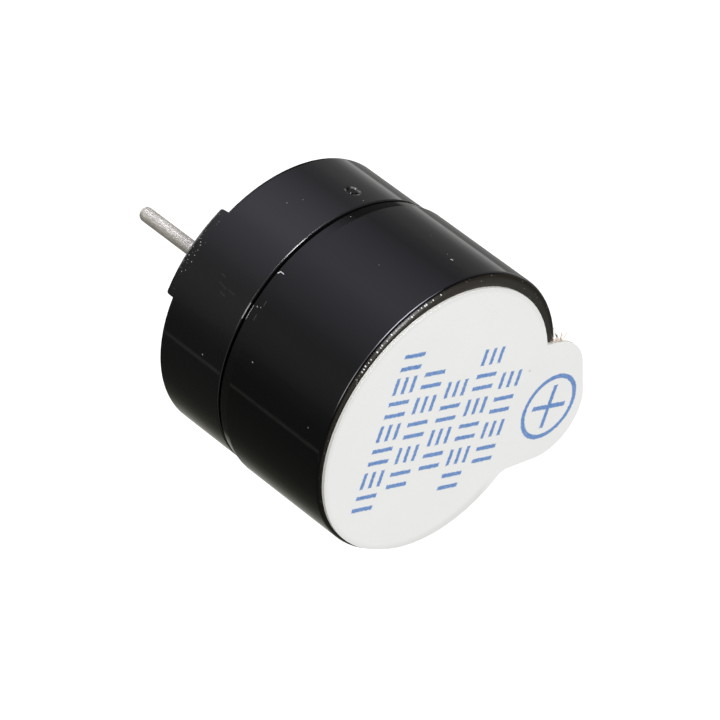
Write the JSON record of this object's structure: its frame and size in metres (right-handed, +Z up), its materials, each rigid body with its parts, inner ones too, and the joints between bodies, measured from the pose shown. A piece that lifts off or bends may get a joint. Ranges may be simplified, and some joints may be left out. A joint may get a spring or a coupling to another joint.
{
  "type": "active buzzer",
  "caption": "Round self-driven magnetic buzzer in a black two-piece case with solder pins below and a white pull-off seal over its sound hole.",
  "frame": {"origin": "on the case's axis, in the plane that the feet stand on, midway between the pins", "axes": "+Z up through the sound hole, +X towards the positive pin"},
  "size_m": [0.014, 0.012, 0.0151],
  "materials": {
    "case_plastic": "smooth moulded black",
    "base_plastic": "smooth moulded black",
    "label_film": "matt white film",
    "pin_metal": "dull tinned wire",
    "spring_steel": "rolled sheet",
    "soft_iron": "plain iron",
    "ferrite": "matt sintered",
    "plated_iron": "zinc plated",
    "enamelled_copper": "enamelled wire",
    "board_laminate": "paper laminate",
    "package_black": "moulded package",
    "tinned_lead": "tinned",
    "chip_ceramic": "coated ceramic",
    "solder": "bright solder"
  },
  "bodies": {
    "root": {"upper_case": "case_plastic", "base_case": "base_plastic", "seal_label": "label_film", "positive_pin": "pin_metal", "negative_pin": "pin_metal", "diaphragm": "spring_steel", "armature_disc": "soft_iron", "ring_magnet": "ferrite", "yoke_plate": "plated_iron", "pole_core": "plated_iron", "drive_coil": "enamelled_copper", "feedback_coil": "enamelled_copper", "coil_leads": "enamelled_copper", "circuit_board": "board_laminate", "transistor_body": "package_black", "transistor_leads": "tinned_lead", "resistor_body": "chip_ceramic", "resistor_ends": "tinned_lead", "pin_solder": "solder", "lead_solder": "solder"}
  },
  "joints": []
}
